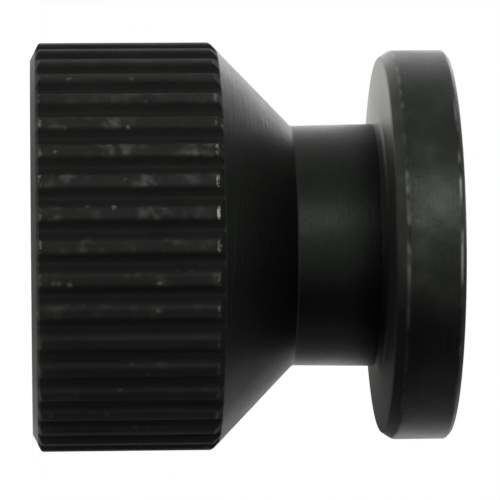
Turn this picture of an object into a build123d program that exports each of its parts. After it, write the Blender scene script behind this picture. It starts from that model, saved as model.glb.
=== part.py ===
from build123d import *
import math
import os

# An adjusting nut in one piece: a straight-knurled head, a cone, a plain neck and a bevelled flange, turned from
# one bar and tapped right through. It stands on the knurled end, with the origin at the middle of that face
# and +Z along the hole. Sizes are in millimetres.

# Knurled head
head_diameter = 20.4  # over the ridges
head_length = 8.9  # from the end face to the edge where the cone starts
end_chamfer_length = 0.42  # along the axis
end_chamfer_depth = 0.87  # towards the axis

# Straight knurl
knurl_pitch = 1.6  # from ridge to ridge, round the head
ridge_land = 0.62  # the width of each ridge before its edges are rounded
groove_depth = 0.33
ridge_edge_radius = 0.3

# Cone from the head down to the neck
cone_length = 4.05

# Neck, the seat of a fork or a wire, a little wider towards the flange
neck_diameter = 12.0
neck_length = 4.45
neck_flare = 0.07  # growth in radius over the neck's length
cone_fillet = 0.25
flange_fillet = 0.3

# Flange
flange_diameter = 19.5
flange_thickness = 3.36
flange_bevel_length = 0.56  # along the axis, on the side of the neck
flange_bevel_depth = 0.37  # towards the axis
flange_edge_chamfer = 0.23  # on the outer face

# Tapped hole
thread_diameter = 6.0
thread_pitch = 1.0
countersink_margin = 0.25  # how far each mouth stands outside the thread

# Stock left outside the ridges before the ends of the head are turned
turning_allowance = 1.0

head_radius = head_diameter / 2
neck_radius = neck_diameter / 2
flange_radius = flange_diameter / 2
cone_end = head_length + cone_length
flange_start = cone_end + neck_length
flange_end = flange_start + flange_thickness
ridge_count = round(math.pi * head_diameter / knurl_pitch)
groove_width = math.pi * head_diameter / ridge_count - ridge_land
groove_half_angle = math.asin(groove_width / head_diameter)
hole_radius = (thread_diameter - thread_pitch) / 2
countersink = thread_diameter / 2 + countersink_margin - hole_radius

# One groove of the knurl, seen along the axis: a round floor between two ridge edges, open to the outside
groove_edge_x = head_radius * math.sin(groove_half_angle)
groove_edge_y = head_radius * math.cos(groove_half_angle)
groove_outside_y = head_radius + turning_allowance
with BuildSketch() as groove:
    with BuildLine():
        floor = ThreePointArc(
            (-groove_edge_x, groove_edge_y),
            (0, head_radius - groove_depth),
            (groove_edge_x, groove_edge_y),
        )
        Polyline(
            floor @ 1,
            (groove_edge_x, groove_outside_y),
            (-groove_edge_x, groove_outside_y),
            floor @ 0,
        )
    make_face()

with BuildPart() as nut:
    # Knurled bar: every ridge runs straight from end to end
    with BuildSketch() as knurl_section:
        Circle(head_radius)
        with PolarLocations(0, ridge_count, start_angle=180 / ridge_count):
            add(groove.sketch, mode=Mode.SUBTRACT)
        fillet(knurl_section.vertices(), radius=ridge_edge_radius)
    extrude(amount=cone_end)

    # The end chamfer and the cone are turned across the ridges, so each groove runs out through both
    chamfer_slope = end_chamfer_length / end_chamfer_depth
    cone_slope = cone_length / (head_radius - neck_radius)
    with BuildSketch(Plane.XZ) as head_profile:
        with BuildLine():
            Polyline(
                (0, 0),
                (head_radius - end_chamfer_depth, 0),
                (head_radius + turning_allowance, end_chamfer_length + turning_allowance * chamfer_slope),
                (head_radius + turning_allowance, head_length - turning_allowance * cone_slope),
                (neck_radius, cone_end),
                (0, cone_end),
                close=True,
            )
        make_face()
    revolve(axis=Axis.Z, mode=Mode.INTERSECT)

    # Neck and flange
    with BuildSketch(Plane.XZ) as shank_profile:
        with BuildLine():
            Polyline(
                (0, cone_end),
                (neck_radius, cone_end),
                (neck_radius + neck_flare, flange_start),
                (flange_radius - flange_bevel_depth, flange_start),
                (flange_radius, flange_start + flange_bevel_length),
                (flange_radius, flange_end - flange_edge_chamfer),
                (flange_radius - flange_edge_chamfer, flange_end),
                (0, flange_end),
                close=True,
            )
        make_face()
        neck_corners = shank_profile.vertices().group_by(Axis.Y)[2]
        fillet(neck_corners.sort_by(Axis.X)[0], radius=flange_fillet)
    revolve(axis=Axis.Z)

    # Soft corner where the cone meets the neck
    cone_foot = nut.edges().filter_by(GeomType.CIRCLE).group_by(lambda edge: abs(edge.center().Z - cone_end))[0]
    fillet(cone_foot, radius=cone_fillet)

    # Tapped hole at its core diameter, countersunk at both mouths
    Hole(radius=hole_radius)
    full_circles = nut.edges().filter_by(GeomType.CIRCLE).filter_by(lambda edge: edge.is_closed)
    hole_rims = full_circles.group_by(lambda edge: edge.radius)[0]
    chamfer(hole_rims, length=countersink)

nut.part.label = "adjusting_nut"
os.makedirs("parts", exist_ok=True)
export_step(nut.part, "parts/adjusting_nut.step")
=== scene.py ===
"""The adjusting nut in black oxide: its knurled and tapped body, its worn finish, and the studio round it."""
import logging
import math
from collections.abc import Callable
from dataclasses import dataclass, field
from enum import Enum
from typing import Any

import bmesh
import bpy
from mathutils import Matrix, Vector


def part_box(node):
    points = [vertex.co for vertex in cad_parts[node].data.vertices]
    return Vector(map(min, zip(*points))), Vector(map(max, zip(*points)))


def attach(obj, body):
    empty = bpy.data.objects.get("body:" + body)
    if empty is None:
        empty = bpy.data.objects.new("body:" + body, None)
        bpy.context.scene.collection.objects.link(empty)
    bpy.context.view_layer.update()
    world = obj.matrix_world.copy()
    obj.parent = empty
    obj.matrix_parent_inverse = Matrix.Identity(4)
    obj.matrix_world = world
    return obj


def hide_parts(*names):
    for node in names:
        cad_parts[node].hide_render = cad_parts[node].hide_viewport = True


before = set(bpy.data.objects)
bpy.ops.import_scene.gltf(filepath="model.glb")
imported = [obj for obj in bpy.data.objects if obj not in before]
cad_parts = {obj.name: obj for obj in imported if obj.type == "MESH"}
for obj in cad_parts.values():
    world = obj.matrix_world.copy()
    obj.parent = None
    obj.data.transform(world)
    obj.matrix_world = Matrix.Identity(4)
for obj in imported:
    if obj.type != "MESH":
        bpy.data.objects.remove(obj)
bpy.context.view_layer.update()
NODE = "adjusting_nut"
MM = 0.001
# How far off an edge or a plane a point may lie and still count as on it, in metres
HAIR = 1e-7
# Points nearer together than this are welded into one
WELD = MM / 1000
log = logging.getLogger("nut")


class Part(Enum):
    """What an edit-mode selection is made of."""

    VERT = "VERT"
    EDGE = "EDGE"
    FACE = "FACE"


# ----------------------------------------------------------------------------------- modelling helpers


def deselect_everything() -> None:
    """Leave edit mode if it is on, and deselect every object."""
    if bpy.context.object and bpy.context.object.mode != "OBJECT":
        bpy.ops.object.mode_set(mode="OBJECT")
    bpy.ops.object.select_all(action="DESELECT")


def start_at_point(name: str, point: Vector) -> bpy.types.Object:
    """Begin a mesh as one vertex, in edit mode.

    Args:
        name: The new object's name.
        point: Where the vertex stands, in metres.

    Returns:
        The new object, in edit mode, with its vertex selected.
    """
    deselect_everything()
    bpy.ops.mesh.primitive_plane_add(size=MM, enter_editmode=True)
    bpy.ops.mesh.select_mode(type=Part.VERT.value)
    bpy.ops.mesh.merge(type="CENTER")
    bpy.ops.transform.translate(value=point)
    made = bpy.context.object
    made.name = name
    made.data.name = name
    return made


def draw_line(points: list[Vector]) -> None:
    """Draw on from the selected vertex by extruding it from point to point.

    Args:
        points: The line's points, the first of which is where the selected vertex stands.
    """
    for start, end in zip(points, points[1:]):
        bpy.ops.mesh.extrude_vertices_move(TRANSFORM_OT_translate={"value": end - start})


def select_where(made: bpy.types.Object, part: Part, wanted: Callable[[Any], bool]) -> int:
    """Select the vertices, edges or faces of a mesh in edit mode that a test picks out.

    Args:
        made: The object, in edit mode.
        part: What to select.
        wanted: Says of one vertex, edge or face whether it is selected.

    Returns:
        How many were selected.
    """
    bpy.ops.mesh.select_mode(type=part.value)
    bpy.ops.mesh.select_all(action="DESELECT")
    mesh = bmesh.from_edit_mesh(made.data)
    pool = {Part.VERT: mesh.verts, Part.EDGE: mesh.edges, Part.FACE: mesh.faces}[part]
    chosen = [element for element in pool if wanted(element)]
    for element in chosen:
        element.select = True
    mesh.select_flush_mode()
    bmesh.update_edit_mesh(made.data)
    return len(chosen)


def apply_modifier(made: bpy.types.Object, kind: str, **settings: Any) -> None:
    """Add one modifier to an object and apply it at once.

    Args:
        made: The object, in object mode.
        kind: The modifier's type.
        settings: The modifier's own settings.
    """
    deselect_everything()
    bpy.context.view_layer.objects.active = made
    made.select_set(True)
    modifier = made.modifiers.new(kind.title(), kind)
    for name, value in settings.items():
        setattr(modifier, name, value)
    bpy.ops.object.modifier_apply(modifier=modifier.name)


def close_and_face_outwards() -> None:
    """Merge doubled vertices of the mesh in edit mode, then turn every face outwards."""
    bpy.ops.mesh.select_all(action="SELECT")
    bpy.ops.mesh.remove_doubles(threshold=WELD)
    bpy.ops.mesh.normals_make_consistent(inside=False)


# -------------------------------------------------------------------------------------- the nut's body


@dataclass
class Knurl:
    """A straight knurl: round-bottomed grooves with a narrow flat land left on each ridge between them."""

    radius: float
    count: int = 40
    land: float = 0.62 * MM
    depth: float = 0.33 * MM
    shoulder: float = 0.3 * MM
    shoulder_steps: int = 6
    floor_steps: int = 4

    def half_groove(self) -> list[Vector]:
        """Draw one ridge and groove as far as the middle of the groove, which lies on +X.

        Returns:
            Points in the XY plane, from the middle of the ridge's land to the middle of the groove's floor.
        """
        width = math.tau * self.radius / self.count - self.land
        sagitta = self.depth - self.radius + math.sqrt(self.radius**2 - width**2 / 4)
        bowl = (width**2 / 4 + sagitta**2) / (2 * sagitta)
        middle = self.radius - self.depth + bowl
        reach = self.radius - self.shoulder
        lean = math.acos((reach**2 + middle**2 - (bowl + self.shoulder) ** 2) / (2 * reach * middle))
        corner = reach * Vector((math.cos(lean), math.sin(lean)))
        swing = math.atan2(corner.y, middle - corner.x)
        ridge = self.radius * Vector((math.cos(math.pi / self.count), math.sin(math.pi / self.count)))
        points = [ridge]
        for step in range(self.shoulder_steps + 1):
            turn = lean - (lean + swing) * step / self.shoulder_steps
            points.append(corner + self.shoulder * Vector((math.cos(turn), math.sin(turn))))
        for step in range(1, self.floor_steps + 1):
            turn = swing * (1 - step / self.floor_steps)
            points.append(Vector((middle - bowl * math.cos(turn), bowl * math.sin(turn))))
        return points

    def columns(self) -> list[tuple[float, float]]:
        """List the knurl's outline over one pitch, from the ridge on +X to the next one.

        Returns:
            The angle round the axis and the radius of each point.
        """
        half_pitch = math.pi / self.count
        half = [(math.atan2(point.y, point.x), point.length) for point in self.half_groove()]
        lower = [(half_pitch - angle, radius) for angle, radius in half]
        upper = [(half_pitch + angle, radius) for angle, radius in reversed(half[:-1])]
        return lower + upper


@dataclass
class Thread:
    """The tapped hole's thread, cut by a tap that is longer than the nut."""

    major_radius: float = 3.0 * MM
    core_radius: float = 2.5 * MM
    pitch: float = 1.0 * MM
    steps: int = 56
    overrun: float = 1.0 * MM

    def tooth(self) -> list[Vector]:
        """Draw one turn of the tap's outline, with 60 degree flanks and flats at both ends of the tooth.

        Returns:
            Points in the XZ plane over one pitch.
        """
        flank = (self.major_radius - self.core_radius) * math.tan(math.radians(30))
        tip = self.pitch / 8
        root = self.pitch - tip - 2 * flank
        heights = (0, root, root + flank, root + flank + tip, self.pitch)
        radii = (self.core_radius, self.core_radius, self.major_radius, self.major_radius, self.core_radius)
        return [Vector((radius, 0, height)) for radius, height in zip(radii, heights)]

    def build_tap(self, length: float) -> bpy.types.Object:
        """Model the tap as one closed screw.

        Args:
            length: The length of the hole that it cuts, from the origin up, in metres.

        Returns:
            The tap.
        """
        # The screw starts and ends well beyond the hole, and is then cut off flat at both ends
        tooth = [point - Vector((0, 0, 3 * self.overrun)) for point in self.tooth()]
        tap = start_at_point("tap", tooth[0])
        draw_line(tooth)
        bpy.ops.object.mode_set(mode="OBJECT")
        bpy.ops.object.transform_apply(location=True, rotation=True, scale=True)
        reach = self.pitch * math.ceil((length + 2 * self.overrun) / self.pitch)
        turns = math.ceil((reach + 4 * self.overrun) / self.pitch)
        apply_modifier(
            tap,
            "SCREW",
            axis="Z",
            angle=math.tau,
            screw_offset=self.pitch,
            iterations=turns,
            steps=self.steps,
            render_steps=self.steps,
            use_merge_vertices=True,
            merge_threshold=WELD,
        )
        bpy.ops.object.mode_set(mode="EDIT")
        for height, upwards in ((-self.overrun, False), (reach - self.overrun, True)):
            bpy.ops.mesh.select_all(action="SELECT")
            bpy.ops.mesh.bisect(
                plane_co=(0, 0, height),
                plane_no=(0, 0, 1),
                use_fill=True,
                clear_outer=upwards,
                clear_inner=not upwards,
                threshold=HAIR,
            )
        close_and_face_outwards()
        bpy.ops.object.mode_set(mode="OBJECT")
        return tap


@dataclass
class EdgeBreak:
    """A turned edge or corner that is rounded all the way round."""

    radius: float
    height: float
    width: float
    segments: int = 3

    def holds(self, point: Vector) -> bool:
        """Say whether a point lies on this edge."""
        return abs(point.xy.length - self.radius) < HAIR and abs(point.z - self.height) < HAIR


@dataclass
class NutBody:
    """The one turned piece: knurled head, cone, neck and flange, tapped right through.

    It stands on the knurled end.
    """

    head_radius: float
    length: float
    head_length: float = 8.9 * MM
    end_chamfer_length: float = 0.42 * MM
    end_chamfer_depth: float = 0.87 * MM
    cone_length: float = 4.05 * MM
    neck_radius: float = 6.0 * MM
    neck_flare: float = 0.07 * MM
    flange_radius: float = 9.75 * MM
    flange_thickness: float = 3.36 * MM
    flange_bevel_length: float = 0.56 * MM
    flange_bevel_depth: float = 0.37 * MM
    flange_edge: float = 0.23 * MM
    tool_line_height: float = 0.36 * MM
    tool_line_width: float = 0.03 * MM
    tool_line_depth: float = 0.008 * MM
    countersink_radius: float = 3.25 * MM
    run_out: float = 0.12 * MM
    thread: Thread = field(default_factory=Thread)
    plug_clearance: float = 0.1 * MM
    smooth_under: float = math.radians(32)

    # How far each edge and corner is rounded
    ridge_end: float = 0.09 * MM
    ridge_end_segments: int = 3
    mouth_break: float = 0.03 * MM
    face_break: float = 0.05 * MM
    cone_foot: float = 0.1 * MM
    flange_root: float = 0.3 * MM
    bevel_corner: float = 0.12 * MM
    flange_shoulder: float = 0.14 * MM

    # A turned face leans less than this sideways round the axis, and a knurled one less than this up or down
    turned_lean: float = 0.02
    knurl_lean: float = 0.3

    def __post_init__(self) -> None:
        """Work out the heights and the knurl that follow from the sizes."""
        self.knurl = Knurl(self.head_radius)
        self.face_radius = self.head_radius - self.end_chamfer_depth
        self.cone_end = self.head_length + self.cone_length
        self.flange_start = self.length - self.flange_thickness
        self.inside_radius = self.head_radius - self.knurl.depth - self.run_out
        self.plug_radius = self.thread.core_radius - self.plug_clearance
        self.plug_depth = self.countersink_radius - self.plug_radius

    def on_end_chamfer(self, radius: float) -> tuple[float, float]:
        """Give the radius and height at which a line of the knurl meets the end chamfer."""
        return radius, self.end_chamfer_length * (radius - self.face_radius) / self.end_chamfer_depth

    def on_cone(self, radius: float) -> tuple[float, float]:
        """Give the radius and height at which a line of the knurl meets the cone."""
        fall = (self.head_radius - radius) / (self.head_radius - self.neck_radius)
        return radius, self.head_length + self.cone_length * fall

    def rows(self) -> list[Callable[[float], tuple[float, float]]]:
        """List the body's rings from the lower countersink, over the outside, to the upper one.

        Returns:
            For each ring, what gives the radius and height of a point from the knurl's radius at its angle.
        """

        def ring(radius: float, height: float) -> Callable[[float], tuple[float, float]]:
            """Make a plain round ring."""
            return lambda knurled: (radius, height)

        root_radius = self.neck_radius + self.neck_flare
        line = self.flange_start - self.tool_line_height
        return [
            ring(self.plug_radius, self.plug_depth),
            ring(self.countersink_radius, 0),
            ring(self.face_radius, 0),
            ring(*self.on_end_chamfer(self.inside_radius)),
            self.on_end_chamfer,
            self.on_cone,
            ring(*self.on_cone(self.inside_radius)),
            ring(self.neck_radius, self.cone_end),
            ring(root_radius, line - self.tool_line_width),
            ring(root_radius - self.tool_line_depth, line),
            ring(root_radius, line + self.tool_line_width),
            ring(root_radius, self.flange_start),
            ring(self.flange_radius - self.flange_bevel_depth, self.flange_start),
            ring(self.flange_radius, self.flange_start + self.flange_bevel_length),
            ring(self.flange_radius, self.length - self.flange_edge),
            ring(self.flange_radius - self.flange_edge, self.length),
            ring(self.countersink_radius, self.length),
            ring(self.plug_radius, self.length - self.plug_depth),
        ]

    def build_pitch(self) -> bpy.types.Object:
        """Model one pitch of the body as an open strip, drawn across and extruded ring by ring.

        Returns:
            The strip, in edit mode.
        """
        columns = self.knurl.columns()
        rings = []
        for row in self.rows():
            spots = [row(knurled) for _, knurled in columns]
            rings.append(
                [
                    Vector((radius * math.cos(angle), radius * math.sin(angle), height))
                    for (angle, _), (radius, height) in zip(columns, spots)
                ]
            )
        made = start_at_point("nut_body", rings[0][0])
        draw_line(rings[0])
        select_where(made, Part.VERT, lambda vertex: True)
        for lower, upper in zip(rings, rings[1:]):
            bpy.ops.mesh.extrude_region_move()
            mesh = bmesh.from_edit_mesh(made.data)
            fresh = [vertex for vertex in mesh.verts if vertex.select]
            fresh.sort(key=lambda vertex: math.atan2(vertex.co.y, vertex.co.x))
            order = [vertex.index for vertex in fresh]
            for index, start, end in zip(order, lower, upper):
                select_where(made, Part.VERT, lambda vertex, index=index: vertex.index == index)
                bpy.ops.transform.translate(value=end - start)
            chosen = set(order)
            select_where(made, Part.VERT, lambda vertex, chosen=chosen: vertex.index in chosen)
        return made

    def edge_breaks(self) -> list[EdgeBreak]:
        """List the plain round edges and corners.

        Returns:
            The edges, each with how far it is rounded.
        """
        root_radius = self.neck_radius + self.neck_flare
        bevel_radius = self.flange_radius - self.flange_bevel_depth
        bevel_end = self.flange_start + self.flange_bevel_length
        return [
            EdgeBreak(self.countersink_radius, 0, self.mouth_break),
            EdgeBreak(self.face_radius, 0, self.face_break),
            EdgeBreak(self.neck_radius, self.cone_end, self.cone_foot, segments=5),
            EdgeBreak(root_radius, self.flange_start, self.flange_root, segments=6),
            EdgeBreak(bevel_radius, self.flange_start, self.bevel_corner, segments=4),
            EdgeBreak(self.flange_radius, bevel_end, self.flange_shoulder, segments=4),
            EdgeBreak(self.flange_radius, self.length - self.flange_edge, self.face_break),
            EdgeBreak(self.flange_radius - self.flange_edge, self.length, self.face_break),
            EdgeBreak(self.countersink_radius, self.length, self.mouth_break),
        ]

    def on_knurl_end(self, point: Vector, end: Callable[[float], tuple[float, float]]) -> bool:
        """Say whether a point is where the knurl runs out through the end chamfer or the cone.

        Args:
            point: The point.
            end: What gives the radius and height of the end at a radius of the knurl.

        Returns:
            True if it is.
        """
        radius = point.xy.length
        knurled = self.head_radius - self.knurl.depth - HAIR < radius < self.head_radius + HAIR
        return knurled and abs(point.z - end(radius)[1]) < HAIR

    def round_edges(self, made: bpy.types.Object) -> None:
        """Round every turned edge, and the ends of the ridges.

        Args:
            made: The body, in edit mode.
        """
        for edge_break in self.edge_breaks():
            holds = edge_break.holds
            select_where(made, Part.EDGE, lambda edge, holds=holds: all(holds(end.co) for end in edge.verts))
            bpy.ops.mesh.bevel(offset=edge_break.width, segments=edge_break.segments, affect="EDGES")
        for end in (self.on_end_chamfer, self.on_cone):
            select_where(
                made,
                Part.EDGE,
                lambda edge, end=end: all(self.on_knurl_end(vertex.co, end) for vertex in edge.verts),
            )
            bpy.ops.mesh.bevel(
                offset=self.ridge_end,
                offset_type="ABSOLUTE",
                segments=self.ridge_end_segments,
                affect="EDGES",
            )

    def is_turned(self, face: bpy.types.MeshPolygon) -> bool:
        """Say whether a face belongs to a round turned surface, and not to the knurl or the thread.

        Args:
            face: The face.

        Returns:
            True if it is turned.
        """
        across = Vector((-face.center.y, face.center.x, 0)).normalized()
        knurled = face.center.z < self.head_length + self.ridge_end and abs(face.normal.z) < self.knurl_lean
        return abs(face.normal.dot(across)) < self.turned_lean and not knurled

    def true_turned_normals(self, made: bpy.types.Object) -> None:
        """Turn the corner normals of every turned face so that none leans sideways round the axis.

        Args:
            made: The body, in object mode.
        """
        mesh = made.data
        normals = [corner.vector.copy() for corner in mesh.corner_normals]
        for face in mesh.polygons:
            if self.is_turned(face):
                for corner in face.loop_indices:
                    point = mesh.vertices[mesh.loops[corner].vertex_index].co
                    across = Vector((-point.y, point.x, 0)).normalized()
                    normals[corner] -= across * normals[corner].dot(across)
                    normals[corner].normalize()
        mesh.normals_split_custom_set(normals)

    def build(self) -> bpy.types.Object:
        """Model the whole body.

        Returns:
            The body, in object mode, with its place in its mesh.
        """
        body = self.build_pitch()
        copies = self.knurl.count - 1
        bpy.ops.mesh.select_all(action="SELECT")
        turn = math.tau * copies / self.knurl.count
        bpy.ops.mesh.spin(steps=copies, dupli=True, angle=turn, center=(0, 0, 0), axis=(0, 0, 1))
        close_and_face_outwards()
        bpy.ops.mesh.select_all(action="DESELECT")
        bpy.ops.mesh.select_mode(type=Part.VERT.value)
        bpy.ops.mesh.select_non_manifold()
        bpy.ops.mesh.fill_holes(sides=0)
        close_and_face_outwards()
        self.round_edges(body)
        bpy.ops.object.mode_set(mode="OBJECT")
        tap = self.thread.build_tap(self.length)
        apply_modifier(body, "BOOLEAN", object=tap, operation="DIFFERENCE", solver="EXACT")
        bpy.data.objects.remove(tap, do_unlink=True)
        deselect_everything()
        bpy.context.view_layer.objects.active = body
        body.select_set(True)
        bpy.ops.object.shade_smooth_by_angle(angle=self.smooth_under)
        apply_modifier(body, "WEIGHTED_NORMAL", keep_sharp=True)
        self.true_turned_normals(body)
        return body


# ---------------------------------------------------------------------------------------------- finish


def linear(code: str) -> tuple[float, float, float, float]:
    """Turn an sRGB colour into a linear one.

    Args:
        code: The colour in hex, such as "2b2c2a".

    Returns:
        Red, green, blue and alpha.
    """
    channels = [int(code[place : place + 2], 16) / 255 for place in (0, 2, 4)]
    lit = [c / 12.92 if c <= 0.04045 else ((c + 0.055) / 1.055) ** 2.4 for c in channels]
    return lit[0], lit[1], lit[2], 1.0


def feed(node: bpy.types.Node, feeds: dict[str | int, Any]) -> None:
    """Set or link a node's input sockets.

    Args:
        node: The node.
        feeds: What each socket takes, by name or number: a value, a field or another node's output socket.
    """
    for socket, value in feeds.items():
        source = value.socket if isinstance(value, Field) else value
        if isinstance(source, bpy.types.NodeSocket):
            node.id_data.links.new(source, node.inputs[socket])
        else:
            node.inputs[socket].default_value = source


def add_node(
    tree: bpy.types.NodeTree, kind: str, feeds: dict[str | int, Any] | None = None, **settings: Any
) -> bpy.types.Node:
    """Add one node to a tree, with its settings and links.

    Args:
        tree: The node tree.
        kind: The node's type, such as "ShaderNodeMath".
        feeds: What each input socket takes, as feed has it.
        settings: The node's own settings.

    Returns:
        The new node.
    """
    node = tree.nodes.new(kind)
    for name, value in settings.items():
        setattr(node, name, value)
    feed(node, feeds or {})
    return node


@dataclass(frozen=True)
class Field:
    """A number that changes from place to place, and sums of such numbers."""

    socket: bpy.types.NodeSocket

    def work(self, operation: str, *others: "Field | float") -> "Field":
        """Put this field through one sum.

        Args:
            operation: The sum, such as "ARCTAN2".
            others: The fields or numbers that come after this one.

        Returns:
            The result.
        """
        feeds = dict(enumerate((self, *others)))
        return Field(add_node(self.socket.id_data, "ShaderNodeMath", feeds, operation=operation).outputs[0])

    def __add__(self, other: "Field | float") -> "Field":
        """Add a field or a number."""
        return self.work("ADD", other)

    def __sub__(self, other: "Field | float") -> "Field":
        """Take away a field or a number."""
        return self.work("SUBTRACT", other)

    def __rsub__(self, other: float) -> "Field":
        """Take this field away from a number."""
        return self * -1.0 + other

    def __mul__(self, other: "Field | float") -> "Field":
        """Multiply by a field or a number."""
        return self.work("MULTIPLY", other)

    def between(self, first: "Field | float", second: "Field | float") -> "Field":
        """Go from the first to the second as this field goes from 0 to 1."""
        return self * (second - first) + first


def within(*borders: tuple[Field, float, float]) -> Field:
    """Find a region from its soft borders.

    Args:
        borders: For each border, what is measured, where the region starts, and where it is reached in full.

    Returns:
        A field that is 1 inside every border, 0 outside any of them, and smooth across each.
    """
    region = None
    for measure, start, end in borders:
        feeds = {"Value": measure, "From Min": start, "From Max": end}
        tree = measure.socket.id_data
        step = Field(add_node(tree, "ShaderNodeMapRange", feeds, interpolation_type="SMOOTHSTEP").outputs[0])
        region = region * step if region else step
    return region


@dataclass(frozen=True)
class Spot:
    """Where on the nut a place is, in millimetres, with its bearing round the axis in radians."""

    place: bpy.types.NodeSocket
    flat: bpy.types.NodeSocket
    radius: Field
    height: Field
    bearing: Field

    @classmethod
    def read(cls, tree: bpy.types.NodeTree) -> "Spot":
        """Read the place from the nut's own coordinates.

        Args:
            tree: The material's node tree.

        Returns:
            The place.
        """
        metres = add_node(tree, "ShaderNodeTexCoord").outputs["Object"]
        feeds = {0: metres, "Scale": 1 / MM}
        place = add_node(tree, "ShaderNodeVectorMath", feeds, operation="SCALE").outputs[0]
        feeds = {0: place, 1: (1, 1, 0)}
        flat = add_node(tree, "ShaderNodeVectorMath", feeds, operation="MULTIPLY").outputs[0]
        radius = add_node(tree, "ShaderNodeVectorMath", {0: flat}, operation="LENGTH").outputs["Value"]
        axes = add_node(tree, "ShaderNodeSeparateXYZ", {0: place}).outputs
        bearing = Field(axes["Y"]).work("ARCTAN2", Field(axes["X"]))
        return cls(place, flat, Field(radius), Field(axes["Z"]), bearing)

    def near(self, radius: float, height: float, reach: float) -> Field:
        """Find how near the place is to a turned edge.

        Args:
            radius: The edge's radius, in metres.
            height: The edge's height, in metres.
            reach: How far from the edge the result falls to 0, in millimetres.

        Returns:
            A field that is 1 on the edge and 0 beyond reach.
        """
        across = self.radius - radius / MM
        along = self.height - height / MM
        return within(((across * across + along * along).work("SQRT"), reach, 0.0))


@dataclass(frozen=True)
class Regions:
    """The parts of the nut's surface, each a field that is 1 there and 0 elsewhere."""

    knurl: Field
    crests: Field
    ridge_ends: Field
    head: Field
    end_face: Field
    cone: Field
    neck: Field
    corner: Field
    flange: Field
    back: Field
    bevel: Field
    shoulder: Field
    rim: Field

    @classmethod
    def find(cls, spot: Spot, body: NutBody) -> "Regions":
        """Find every part from the place's radius, height and bearing.

        The small lengths are the soft borders' own, in millimetres.

        Args:
            spot: The place.
            body: The nut's body, for its sizes.

        Returns:
            The parts.
        """
        radius, height = spot.radius, spot.height
        top = body.head_radius / MM
        groove = top - body.knurl.depth / MM
        neck = body.neck_radius / MM
        cone_end = body.cone_end / MM
        back = body.flange_start / MM
        bevel_end = back + body.flange_bevel_length / MM
        chamfer_end = body.end_chamfer_length / MM

        # How far round the head the place is from the middle of its ridge
        turns = spot.bearing * (body.knurl.count / math.tau)
        beside = (turns - turns.work("ROUND")) * (math.tau * top / body.knurl.count)
        knurl = within((radius, groove - 0.05, groove + 0.02))
        crests = within((beside, -0.55, -0.3), (beside, 0.45, 0.2))

        # How far it is under the cone and over the end chamfer, where the ridges end
        cone_slope = body.cone_length / (body.head_radius - body.neck_radius)
        to_cone = (top - radius) * cone_slope + body.head_length / MM - height
        chamfer_slope = body.end_chamfer_length / body.end_chamfer_depth
        to_chamfer = height - (radius - body.face_radius / MM) * chamfer_slope
        ridge_top = (radius, top - 0.12, top - 0.06)
        at_cone = within((to_cone, 0.11, 0.05), ridge_top)
        at_chamfer = within((to_chamfer, 0.14, 0.05), ridge_top)

        # The head and the bevel lie further out than the flange's back does
        flange = (height, back, back + 0.1)
        far_out = (radius, body.flange_radius / MM - 0.5, body.flange_radius / MM - 0.3)
        return cls(
            knurl=knurl,
            crests=crests,
            ridge_ends=at_cone.work("MAXIMUM", at_chamfer) * crests * knurl,
            head=within((to_cone, 0.0, 0.1), far_out),
            end_face=within((height, chamfer_end, chamfer_end - 0.06)),
            cone=within((height, cone_end + 0.05, cone_end - 0.15)),
            neck=within(
                (height, cone_end - 0.15, cone_end + 0.15),
                (height, back + 0.2, back + 0.05),
                (radius, neck + 0.6, neck + 0.3),
            ),
            corner=spot.near(body.neck_radius, body.flange_start, 3.0),
            flange=within(flange),
            back=within(
                (height, back - 0.22, back - 0.1),
                (height, back + 0.1, back),
                (radius, neck + 0.1, neck + 0.3),
            ),
            bevel=within((height, bevel_end + 0.1, back + 0.5), flange, far_out),
            shoulder=spot.near(body.flange_radius, body.flange_start + body.flange_bevel_length, 0.16),
            rim=spot.near(body.flange_radius, body.length - body.flange_edge, 0.14),
        )


@dataclass(frozen=True)
class Mottle:
    """A soft, cloudy pattern, about 0.5 on average, with the size of a cloud in millimetres."""

    size: float
    layers: float


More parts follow.
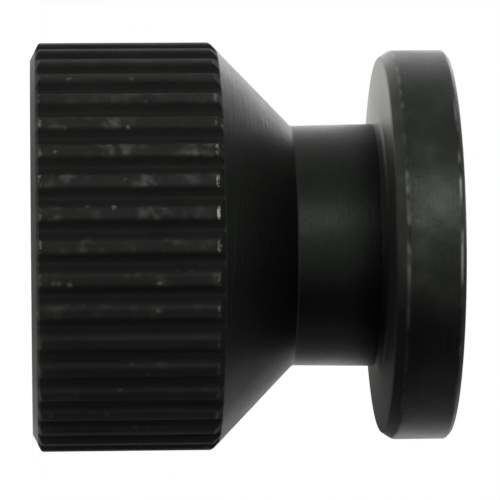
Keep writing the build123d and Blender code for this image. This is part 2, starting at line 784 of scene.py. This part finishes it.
@dataclass(frozen=True)
class BlackOxide:
    """Black oxide: turned and knurled steel, blackened in a hot salt bath and oiled.

    The thin oxide keeps every tool mark of the steel and gives a dark, half-matt metal. It rubs through to
    grey steel first on the ends of the ridges and on turned edges.
    """

    name: str = "black oxide on steel"
    oxide: str = "303330"
    # This dark colour serves the soot in the clouds, the darker knurl, and the painted shade on the neck and
    # in the corner under the flange
    soot_and_shade: str = "202220"
    steel: str = "b0b1ab"

    # Turned faces are half matt, the pressed knurl is rough, and rubbed steel is smoother
    roughness: float = 0.32
    cone_roughness: float = 0.36
    crest_roughness: float = 0.7
    groove_roughness: float = 0.9
    rubbed_roughness: float = 0.3
    cloud_roughening: float = 0.08
    corner_roughening: float = 0.12
    back_roughening: float = 0.2

    # How much soot lies in the clouds, how much darker the knurl is all over, and how much painted shade
    # darkens the neck and the corner under the flange
    cloud_soot: float = 0.5
    knurl_darkening: float = 0.58
    neck_shade: float = 0.55
    corner_shade: float = 0.45

    # How much steel handling bares on the crests and the flange
    smudge_rub: float = 0.18
    speck_rub: float = 0.5
    flange_rub: float = 0.008
    patch_rub: float = 0.065
    shoulder_rub: float = 0.65
    rim_rub: float = 0.5
    ridge_end_rub: float = 0.78
    least_ridge_end_rub: float = 0.18

    # How much shows everywhere on a face, most on the back of the flange, along which a fork slides
    head_rub: float = 0.03
    end_face_rub: float = 0.12
    bevel_rub: float = 0.04
    back_rub: float = 0.55

    # Where the thumb rests, and how far from it wear starts and is full, in millimetres. It rests on the
    # camera's side, where the highlights fall, so the steel gathered round it is wear and also a painted
    # highlight
    wear_and_sheen_centre: tuple[float, float, float] = (-2.5, -9.8, 0.0)
    wear_and_sheen_start: float = 7.5
    wear_and_sheen_full: float = 2.5
    least_wear_and_sheen: float = 0.2
    ridge_end_wear_and_sheen_start: float = 6.5
    ridge_end_wear_and_sheen_full: float = 0.5

    # The bath leaves clouds about 2 mm across. Fingers leave smears and patches a little smaller, with
    # blotches of half a millimetre in them and specks that stand a little further apart
    clouds: Mottle = Mottle(size=2.222, layers=4.0)
    blotches: Mottle = Mottle(size=0.5, layers=2.0)
    smears: Mottle = Mottle(size=1.667, layers=1.0)
    patches: Mottle = Mottle(size=1.429, layers=1.5)
    stretches: Mottle = Mottle(size=1.25, layers=1.2)
    speck_spacing: float = 0.625
    speck_raggedness: float = 0.4

    # The oxide's grain is some thousandths of a millimetre across, and a fine turning feed is about 0.05 mm.
    # Both are too fine to show, so they are drawn coarser
    grain: Mottle = Mottle(size=0.2, layers=3.0)
    grain_share: float = 0.35
    feed_marks: Mottle = Mottle(size=0.1111, layers=2.0)
    mark_depth: float = 0.008 * MM

    # How little the feed marks change over one radian, so that each runs far round the axis
    mark_stretch: float = 0.25

    def find_bare_steel(self, spot: Spot, regions: Regions, patterns: dict[str, Field]) -> Field:
        """Find where the oxide is rubbed through: wear, gathered on the camera's side into a painted
        highlight.

        Args:
            spot: The place.
            regions: The parts of the nut.
            patterns: The patterns by name.

        Returns:
            How much steel shows, from 0 to 1.
        """
        tree = spot.place.id_data
        feeds = {0: spot.flat, 1: self.wear_and_sheen_centre}
        gap = add_node(tree, "ShaderNodeVectorMath", feeds, operation="DISTANCE")
        aside = Field(gap.outputs["Value"])
        # Steel gathers round the thumb, on the camera's side: wear, and a painted highlight where the light
        # falls
        wear_and_sheen = within((aside, self.wear_and_sheen_start, self.wear_and_sheen_full)).between(self.least_wear_and_sheen, 1.0)
        worn = within((patterns["stretches"], 0.38, 0.66))

        # The crests are rubbed in soft smudges, and here and there through to the steel in ragged specks
        smudges = within((patterns["smears"], 0.45, 0.75), (patterns["blotches"], 0.35, 0.75))
        feeds = {"Vector": spot.place, "Scale": 1 / self.speck_spacing}
        cells = add_node(tree, "ShaderNodeTexVoronoi", feeds).outputs
        chance = Field(add_node(tree, "ShaderNodeSeparateColor", {0: cells["Color"]}).outputs[0])
        ragged = patterns["grain"] * self.speck_raggedness + Field(cells["Distance"])
        specks = within((ragged, 0.5, 0.24), (chance, 0.55, 1.0))
        on_crests = (smudges * self.smudge_rub + specks * self.speck_rub) * regions.crests * regions.knurl

        # So is the rim of the flange in patches, and its edges are rubbed to a thin line
        patches = within((patterns["patches"], 0.4, 0.85))
        on_flange = (patches * self.patch_rub + self.flange_rub) * regions.flange
        on_edges = (regions.shoulder * self.shoulder_rub).work("MAXIMUM", regions.rim * self.rim_rub) * worn
        # Crests, flange and edges all gather round the thumb: wear, and a painted highlight on the camera's
        # side
        handled_and_sheen = (on_crests + on_flange + on_edges) * wear_and_sheen

        # The ends of the ridges are rubbed to a line that the grain breaks up, brightest near the thumb,
        # where the line is also a painted glint
        broken = within((patterns["grain"], 0.35, 0.6)) * worn.between(0.35, 1.0)
        near_wear_and_sheen_centre = within((aside, self.ridge_end_wear_and_sheen_start, self.ridge_end_wear_and_sheen_full))
        share = near_wear_and_sheen_centre.between(self.least_ridge_end_rub, self.ridge_end_rub)
        brushed_and_sheen = regions.ridge_ends * broken * share
        faces = (
            (regions.back, self.back_rub),
            (regions.bevel, self.bevel_rub),
            (regions.end_face, self.end_face_rub),
            (regions.head, self.head_rub),
        )
        for face, share in faces:
            brushed_and_sheen = brushed_and_sheen.work("MAXIMUM", face * share)
        return (handled_and_sheen + brushed_and_sheen).work("MINIMUM", 1.0)

    def mix_colour(self, regions: Regions, thin: Field, bare: Field) -> bpy.types.NodeSocket:
        """Mix the colour: soot in the clouds, the knurl darker all over, and painted shade on the neck and in
        the corner under the flange.

        Args:
            regions: The parts of the nut.
            thin: How thin the oxide is, from 0 to 1.
            bare: How much steel shows.

        Returns:
            The socket that holds the colour.
        """
        # The clouds hold soot, and the knurl is darker all over
        soot_and_dark_knurl = ((1.0 - thin) * self.cloud_soot).work("MAXIMUM", regions.knurl * self.knurl_darkening)
        # Painted shade: the neck, between head and flange, and the corner under the flange are darkened where
        # shade falls
        neck_and_corner_shade = regions.corner * self.corner_shade + regions.neck * self.neck_shade
        colour = linear(self.oxide)
        for share, over in ((soot_and_dark_knurl, self.soot_and_shade), (neck_and_corner_shade, self.soot_and_shade), (bare, self.steel)):
            # Inputs 6 and 7 of this node are its two colours, and output 2 is their mixture
            feeds = {0: share, 6: colour, 7: linear(over)}
            colour = add_node(share.socket.id_data, "ShaderNodeMix", feeds, data_type="RGBA").outputs[2]
        return colour

    def find_roughness(self, regions: Regions, thin: Field, bare: Field) -> Field:
        """Find how rough each place is.

        Args:
            regions: The parts of the nut.
            thin: How thin the oxide is, from 0 to 1.
            bare: How much steel shows.

        Returns:
            The roughness.
        """
        turned = regions.cone.between(self.roughness, self.cone_roughness)
        knurled = regions.crests.between(self.groove_roughness, self.crest_roughness)
        oxide = regions.knurl.between(turned, knurled)
        oxide = oxide + (0.5 - thin) * self.cloud_roughening + regions.corner * self.corner_roughening
        return bare.between(oxide, self.rubbed_roughness) + regions.back * self.back_roughening

    def raise_marks(self, spot: Spot, regions: Regions, grain: Field) -> bpy.types.NodeSocket:
        """Raise the feed marks, which run round every turned face, and the grain, which has no direction.

        Args:
            spot: The place.
            regions: The parts of the nut.
            grain: The oxide's grain.

        Returns:
            The socket that holds the surface's direction.
        """
        tree = spot.place.id_data
        feeds = {0: spot.radius, 1: spot.bearing * self.mark_stretch, 2: spot.height}
        turned = add_node(tree, "ShaderNodeCombineXYZ", feeds).outputs[0]
        feeds = {"Vector": turned, "Scale": 1 / self.feed_marks.size, "Detail": self.feed_marks.layers}
        marks = Field(add_node(tree, "ShaderNodeTexNoise", feeds).outputs[0])
        relief = marks * (1.0 - regions.knurl) + grain
        feeds = {"Strength": 1.0, "Distance": self.mark_depth, "Height": relief}
        return add_node(tree, "ShaderNodeBump", feeds).outputs[0]

    def build(self, body: NutBody) -> bpy.types.Material:
        """Make the material.

        Args:
            body: The nut's body, for the places that are rubbed.

        Returns:
            The material.
        """
        material = bpy.data.materials.new(self.name)
        material.use_nodes = True
        tree = material.node_tree
        spot = Spot.read(tree)
        regions = Regions.find(spot, body)
        mottles = {
            "clouds": self.clouds,
            "grain": self.grain,
            "blotches": self.blotches,
            "smears": self.smears,
            "patches": self.patches,
            "stretches": self.stretches,
        }
        patterns = {}
        for name, mottle in mottles.items():
            feeds = {"Vector": spot.place, "Scale": 1 / mottle.size, "Detail": mottle.layers}
            patterns[name] = Field(add_node(tree, "ShaderNodeTexNoise", feeds).outputs[0])
        clouds = patterns["clouds"] * (1 - self.grain_share) + patterns["grain"] * self.grain_share
        thin = within((clouds, 0.3, 0.7))
        bare = self.find_bare_steel(spot, regions, patterns)
        feeds = {
            "Metallic": 1.0,
            "Base Color": self.mix_colour(regions, thin, bare),
            "Roughness": self.find_roughness(regions, thin, bare),
            "Normal": self.raise_marks(spot, regions, patterns["grain"]),
        }
        feed(tree.nodes["Principled BSDF"], feeds)
        return material


# ---------------------------------------------------------------------------------------------- studio


@dataclass(frozen=True)
class Ring:
    """How bright the studio is round the nut, level by level.

    Each level comes with its bearing in degrees, from the camera's side towards -X.
    """

    levels: tuple[tuple[float, float], ...]

    def shine(self, way: bpy.types.NodeSocket) -> Field:
        """Find how bright the ring is in one direction from the nut.

        Args:
            way: The direction, of which only X and Y count.

        Returns:
            The brightness.
        """
        tree = way.id_data
        axes = add_node(tree, "ShaderNodeSeparateXYZ", {0: way}).outputs
        bearing = (Field(axes["X"]) * -1.0).work("ARCTAN2", Field(axes["Y"]) * -1.0)
        ramp = add_node(tree, "ShaderNodeValToRGB", {0: bearing * (1 / math.tau) + 0.5})
        stops = ramp.color_ramp.elements
        while len(stops) < len(self.levels):
            stops.new(1.0)
        for stop, (degrees, strength) in zip(stops, self.levels):
            stop.position = degrees / 360 + 0.5
            stop.color = (strength, strength, strength, 1)
        return Field(ramp.outputs[0])


@dataclass(frozen=True)
class MattBoard:
    """Matt white board: uncoated card, so rough that it looks even from everywhere and mirrors nothing.

    The metal of the nut mirrors it, and what the board shows the nut is set apart: a painted glow, lit from
    -X and in painted shade towards +X.
    """

    name: str = "matt white board"
    colour: str = "e6e6e4"
    roughness: float = 0.9

    # How much the camera's view of it is lifted towards the white background
    lift: float = 0.6

    # Round the nut's foot the board's painted glow is even, with no shadow under the nut, and further from
    # the axis it is as the ring below says
    under_edge: float = 0.55
    edge_start: float = 12 * MM
    edge_full: float = 10.6 * MM

    # What the nut mirrors of it is a painted glow, not light that falls on it: dark on the side of +X, and
    # brighter round by -X to behind the nut
    mirrored: Ring = Ring(
        (
            (-180, 0.1),
            (-135, 0.13),
            (-90, 0.09),
            (-45, 0.09),
            (-28, 0.15),
            (0, 0.5),
            (30, 0.6),
            (95, 0.75),
            (150, 1.4),
            (180, 1.6),
        )
    )

    def build(self) -> bpy.types.Material:
        """Make the material.

        Returns:
            The material.
        """
        material = bpy.data.materials.new(self.name)
        material.use_nodes = True
        tree = material.node_tree
        paths = add_node(tree, "ShaderNodeLightPath").outputs
        seen, mirrored = Field(paths["Is Camera Ray"]), Field(paths["Is Glossy Ray"])
        place = add_node(tree, "ShaderNodeTexCoord").outputs["Object"]
        away = Field(add_node(tree, "ShaderNodeVectorMath", {0: place}, operation="LENGTH").outputs["Value"])
        under = within((away, self.edge_start, self.edge_full))
        # For mirrored rays the board is black and shows only this painted glow, so no shadow on it is
        # mirrored
        glow = under.between(self.mirrored.shine(place), self.under_edge)
        # Inputs 6 and 7 of this node are its two colours, and output 2 is their mixture
        feeds = {0: mirrored, 6: linear(self.colour), 7: (0, 0, 0, 1)}
        feeds = {
            "Base Color": add_node(tree, "ShaderNodeMix", feeds, data_type="RGBA").outputs[2],
            "Roughness": self.roughness,
            "Emission Color": (1, 1, 1, 1),
            "Emission Strength": seen * self.lift + mirrored * glow,
        }
        feed(tree.nodes["Principled BSDF"], feeds)
        return material


@dataclass(frozen=True)
class SoftBox:
    """One square soft box that is aimed at the nut."""

    name: str
    angle: float
    height: float
    reach: float
    size: float
    power: float

    def hang(self, aim: float) -> None:
        """Hang the soft box.

        Args:
            aim: The height on the nut's axis that it is aimed at, in metres.
        """
        lamp = bpy.data.objects.new(self.name, bpy.data.lights.new(self.name, "AREA"))
        bpy.context.scene.collection.objects.link(lamp)
        lamp.data.shape = "SQUARE"
        lamp.data.size = self.size
        lamp.data.energy = self.power
        across, along = -math.sin(self.angle) * self.reach, -math.cos(self.angle) * self.reach
        lamp.location = Vector((across, along, self.height))
        way = Vector((0, 0, aim)) - lamp.location
        lamp.rotation_mode = "QUATERNION"
        lamp.rotation_quaternion = way.to_track_quat("-Z", "Y")


@dataclass
class Studio:
    """A pale floor, soft light and the camera."""

    lens: float = 264.8
    distance: float = 184.0 * MM
    camera_height: float = 0.6 * MM
    aim: Vector = field(default_factory=lambda: Vector((0.205 * MM, 0, 10.93 * MM)))
    roll: float = math.radians(-0.47)
    azimuth: float = math.radians(-0.1)
    floor: MattBoard = MattBoard()
    floor_size: float = 1.2
    soft_box: SoftBox = SoftBox(
        name="front soft box", angle=math.radians(26), height=12 * MM, reach=0.4, size=0.2, power=0.2
    )

    # The walls: dark on the camera's side of +X, bright on the side of -X, and brightest behind the nut
    walls: Ring = Ring(
        (
            (-180, 0.15),
            (-160, 0.95),
            (-128, 0.42),
            (-96, 0.34),
            (-62, 0.05),
            (-42, 0.08),
            (-24, 0.36),
            (0, 0.82),
            (26, 1.1),
            (65, 0.65),
            (95, 1.0),
            (143, 1.2),
            (165, 1.5),
            (180, 2.0),
        )
    )

    # The ceiling, which the cone mirrors, and how steep a direction is where it takes over from the walls
    ceiling: Ring = Ring(
        (
            (-180, 0.15),
            (-160, 0.66),
            (-128, 0.26),
            (-96, 0.34),
            (-62, 0.35),
            (-42, 0.4),
            (-24, 0.6),
            (0, 1.0),
            (26, 1.2),
            (65, 0.75),
            (95, 0.55),
            (125, 0.4),
            (140, 0.55),
            (152, 2.0),
            (165, 2.6),
            (180, 2.2),
        )
    )
    ceiling_start: float = 0.2
    ceiling_full: float = 0.45

    def place_camera(self) -> None:
        """Put the camera level with the knurled end and on its side, so that the nut's axis runs across."""
        camera = bpy.data.objects.new("camera", bpy.data.cameras.new("camera"))
        bpy.context.scene.collection.objects.link(camera)
        camera.data.lens = self.lens
        camera.data.clip_start = 0.01
        camera.data.clip_end = 10
        spin = Matrix.Rotation(self.azimuth, 3, "Z")
        place = spin @ Vector((self.aim.x, -self.distance, self.camera_height))
        aim = spin @ self.aim
        back = (place - aim).normalized()
        right = (Vector((0, 0, 1)) - back * back.z).normalized()
        axes = Matrix((right, back.cross(right), back)).transposed()
        turned = axes @ Matrix.Rotation(self.roll, 3, "Z")
        camera.matrix_world = Matrix.LocRotScale(place, turned, None)
        bpy.context.scene.camera = camera

    def lay_floor(self) -> None:
        """Lay the pale floor under the nut."""
        deselect_everything()
        bpy.ops.mesh.primitive_plane_add(size=self.floor_size)
        floor = bpy.context.object
        floor.name = "floor"
        floor.data.materials.append(self.floor.build())

    def light_room(self) -> None:
        """Light the nut from all round, and show the camera plain white behind it."""
        world = bpy.data.worlds.new("studio")
        bpy.context.scene.world = world
        world.use_nodes = True
        tree = world.node_tree
        way = add_node(tree, "ShaderNodeTexCoord").outputs["Generated"]
        lift = Field(add_node(tree, "ShaderNodeSeparateXYZ", {0: way}).outputs["Z"])
        high = within((lift, self.ceiling_start, self.ceiling_full))
        level = high.between(self.walls.shine(way), self.ceiling.shine(way))
        seen = Field(add_node(tree, "ShaderNodeLightPath").outputs["Is Camera Ray"])
        feed(tree.nodes["Background"], {"Color": (1, 1, 1, 1), "Strength": seen.between(level, 1.0)})

    def set_up(self) -> None:
        """Lay the floor, light the nut and place the camera."""
        self.lay_floor()
        self.light_room()
        self.soft_box.hang(self.aim.z)
        self.place_camera()


def main() -> None:
    """Build the nut, dress it and light it."""
    logging.basicConfig(level=logging.INFO, format="%(message)s")
    bpy.context.scene.view_settings.view_transform = "Standard"
    low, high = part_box(NODE)
    turned = NutBody(head_radius=(high.x - low.x) / 2, length=high.z - low.z)
    body = turned.build()
    body.data.materials.clear()
    body.data.materials.append(BlackOxide().build(turned))
    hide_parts(NODE)
    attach(body, "root")
    log.info("%s: %d faces", body.name, len(body.data.polygons))
    Studio().set_up()
    log.info("studio: set up")


if __name__ == "__main__":
    main()
